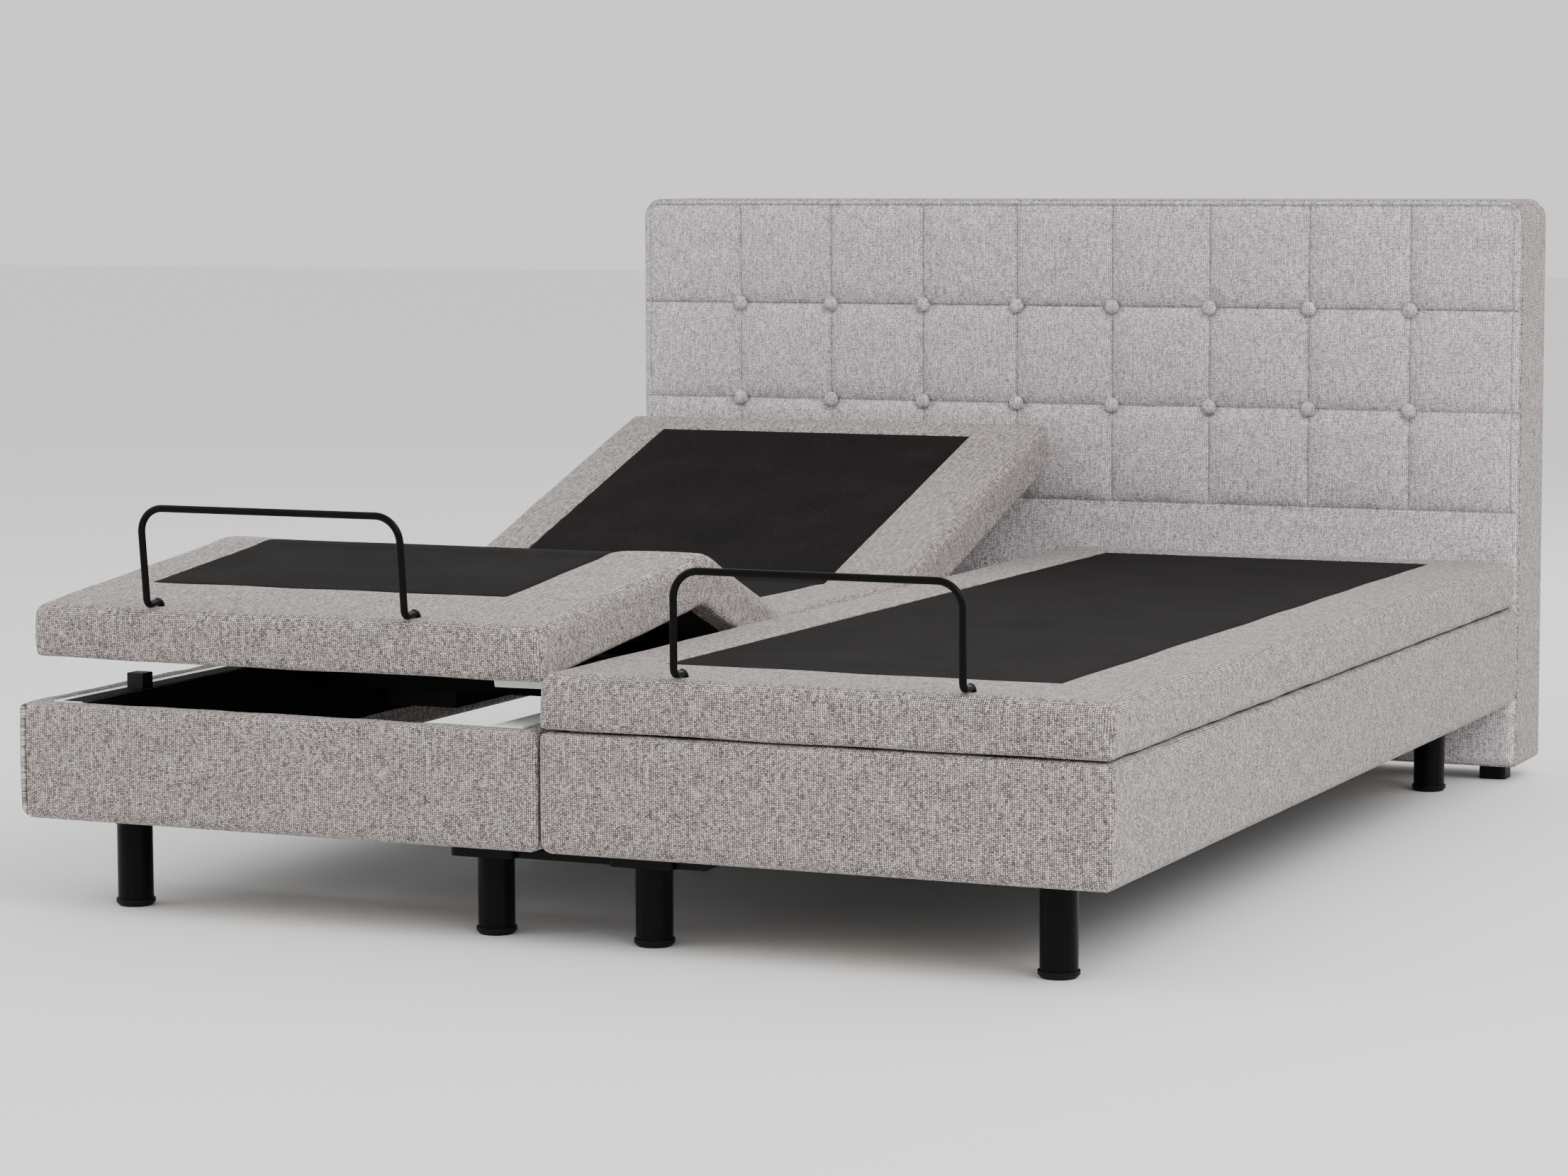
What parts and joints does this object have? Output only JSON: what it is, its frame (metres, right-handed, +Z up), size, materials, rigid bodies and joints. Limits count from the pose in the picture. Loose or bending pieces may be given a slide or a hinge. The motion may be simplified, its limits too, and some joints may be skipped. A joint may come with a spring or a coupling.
{
  "type": "adjustable bed base",
  "caption": "Adjustable double bed base: upholstered box halves with motor-raised back, thigh and calf sections, retainer bars, round legs and a button-tufted headboard.",
  "frame": {"origin": "centre of the bounding box at floor level", "axes": "+X to the right seen from the foot end, +Y from the foot end to the headboard, +Z up"},
  "size_m": [1.604, 2.158, 0.967],
  "materials": {
    "upholstery": "matte",
    "grip_fabric": "matte",
    "black_steel": "satin",
    "bright_steel": "satin",
    "rail_paint": "satin",
    "black_plastic": "satin",
    "rubber": "matte",
    "plywood": "matte",
    "timber": "matte"
  },
  "bodies": {
    "base": {"left_side_boards": "upholstery", "left_end_boards": "upholstery", "left_leg_beams": "timber", "left_legs": "black_steel", "left_leg_glides": "black_plastic", "left_side_rails": "rail_paint", "left_seat_frame": "black_steel", "left_bumpers": "rubber", "left_control_box": "black_plastic", "left_pivot_pins": "bright_steel", "left_seat_panel": "plywood", "left_seat_pad": "upholstery", "right_side_boards": "upholstery", "right_end_boards": "upholstery", "right_leg_beams": "timber", "right_legs": "black_steel", "right_leg_glides": "black_plastic", "right_side_rails": "rail_paint", "right_seat_frame": "black_steel", "right_bumpers": "rubber", "right_control_box": "black_plastic", "right_pivot_pins": "bright_steel", "right_seat_panel": "plywood", "right_seat_pad": "upholstery", "joining_strips": "black_steel", "headboard_plates": "bright_steel", "headboard_feet": "black_plastic", "headboard_core": "upholstery", "headboard_cushion": "upholstery", "headboard_buttons": "upholstery"},
    "left_back": {"left_back_frame": "black_steel", "left_back_panel": "plywood", "left_back_pad": "upholstery"},
    "left_thigh": {"left_thigh_frame": "black_steel", "left_thigh_panel": "plywood", "left_thigh_pad": "upholstery", "left_knee_pins": "bright_steel"},
    "left_calf": {"left_calf_frame": "black_steel", "left_calf_panel": "plywood", "left_calf_pad": "upholstery", "left_retainer_bar": "black_steel"},
    "left_back_motor": {"left_back_motor": "black_plastic"},
    "left_back_rod": {"left_back_rod": "bright_steel"},
    "left_leg_motor": {"left_leg_motor": "black_plastic"},
    "left_leg_rod": {"left_leg_rod": "bright_steel"},
    "right_back": {"right_back_frame": "black_steel", "right_back_panel": "plywood", "right_back_pad": "upholstery"},
    "right_thigh": {"right_thigh_frame": "black_steel", "right_thigh_panel": "plywood", "right_thigh_pad": "upholstery", "right_knee_pins": "bright_steel"},
    "right_calf": {"right_calf_frame": "black_steel", "right_calf_panel": "plywood", "right_calf_pad": "upholstery", "right_retainer_bar": "black_steel"},
    "right_back_motor": {"right_back_motor": "black_plastic"},
    "right_back_rod": {"right_back_rod": "bright_steel"},
    "right_leg_motor": {"right_leg_motor": "black_plastic"},
    "right_leg_rod": {"right_leg_rod": "bright_steel"}
  },
  "joints": [
    {"name": "left_back_raise", "type": "hinge", "parent": "base", "child": "left_back", "pos_m": [-0.401, 0.197, 0.286], "axis": [1, 0, 0], "range_deg": [-18, 42]},
    {"name": "left_thigh_raise", "type": "hinge", "parent": "base", "child": "left_thigh", "pos_m": [-0.401, -0.274, 0.286], "axis": [-1, 0, 0], "range_deg": [-22.5, 12.5]},
    {"name": "left_knee", "type": "hinge", "parent": "left_thigh", "child": "left_calf", "pos_m": [-0.401, -0.54192, 0.39698], "axis": [1, 0, 0], "range_deg": [-28.94, 16.28]},
    {"name": "left_back_motor_swing", "type": "hinge", "parent": "base", "child": "left_back_motor", "pos_m": [-0.192, -0.411, 0.205], "axis": [1, 0, 0], "range_deg": [-0.88, 2.03]},
    {"name": "left_back_rod_slide", "type": "slide", "parent": "left_back_motor", "child": "left_back_rod", "axis": [0, 1, -0.0051], "range_m": [-0.02707, 0.06199]},
    {"name": "left_leg_motor_swing", "type": "hinge", "parent": "base", "child": "left_leg_motor", "pos_m": [-0.321, 0.329, 0.205], "axis": [-1, 0, 0], "range_deg": [-0.69, 0.39]},
    {"name": "left_leg_rod_slide", "type": "slide", "parent": "left_leg_motor", "child": "left_leg_rod", "axis": [0, -1, -0.0001], "range_m": [-0.03367, 0.01893]},
    {"name": "right_back_raise", "type": "hinge", "parent": "base", "child": "right_back", "pos_m": [0.401, 0.197, 0.286], "axis": [1, 0, 0], "range_deg": [0, 60]},
    {"name": "right_thigh_raise", "type": "hinge", "parent": "base", "child": "right_thigh", "pos_m": [0.401, -0.274, 0.286], "axis": [-1, 0, 0], "range_deg": [0, 35]},
    {"name": "right_knee", "type": "hinge", "parent": "right_thigh", "child": "right_calf", "pos_m": [0.401, -0.564, 0.286], "axis": [1, 0, 0], "range_deg": [-0.44, 44.78]},
    {"name": "right_back_motor_swing", "type": "hinge", "parent": "base", "child": "right_back_motor", "pos_m": [0.192, -0.411, 0.205], "axis": [1, 0, 0], "range_deg": [-0.03, 2.54]},
    {"name": "right_back_rod_slide", "type": "slide", "parent": "right_back_motor", "child": "right_back_rod", "axis": [0, 1, -0.0046], "range_m": [-0.00081, 0.08132]},
    {"name": "right_leg_motor_swing", "type": "hinge", "parent": "base", "child": "right_leg_motor", "pos_m": [0.321, 0.329, 0.205], "axis": [-1, 0, 0], "range_deg": [-0.01, 1.02]},
    {"name": "right_leg_rod_slide", "type": "slide", "parent": "right_leg_motor", "child": "right_leg_rod", "axis": [0, -1, -0.0062], "range_m": [-0.0005, 0.05047]}
  ],
  "couplings": [
    {"joint": "left_knee", "follows": "left_thigh_raise", "ratio": 1.2667},
    {"joint": "left_back_motor_swing", "follows": "left_back_raise", "ratio": 0.047546},
    {"joint": "left_back_rod_slide", "follows": "left_back_raise", "m_per_rad": 0.083378},
    {"joint": "left_leg_motor_swing", "follows": "left_thigh_raise", "ratio": 0.030324},
    {"joint": "left_leg_rod_slide", "follows": "left_thigh_raise", "m_per_rad": 0.084423},
    {"joint": "right_knee", "follows": "right_thigh_raise", "ratio": 1.2667},
    {"joint": "right_back_motor_swing", "follows": "right_back_raise", "ratio": 0.04195},
    {"joint": "right_back_rod_slide", "follows": "right_back_raise", "m_per_rad": 0.076888},
    {"joint": "right_leg_motor_swing", "follows": "right_thigh_raise", "ratio": 0.02888},
    {"joint": "right_leg_rod_slide", "follows": "right_thigh_raise", "m_per_rad": 0.081797}
  ]
}
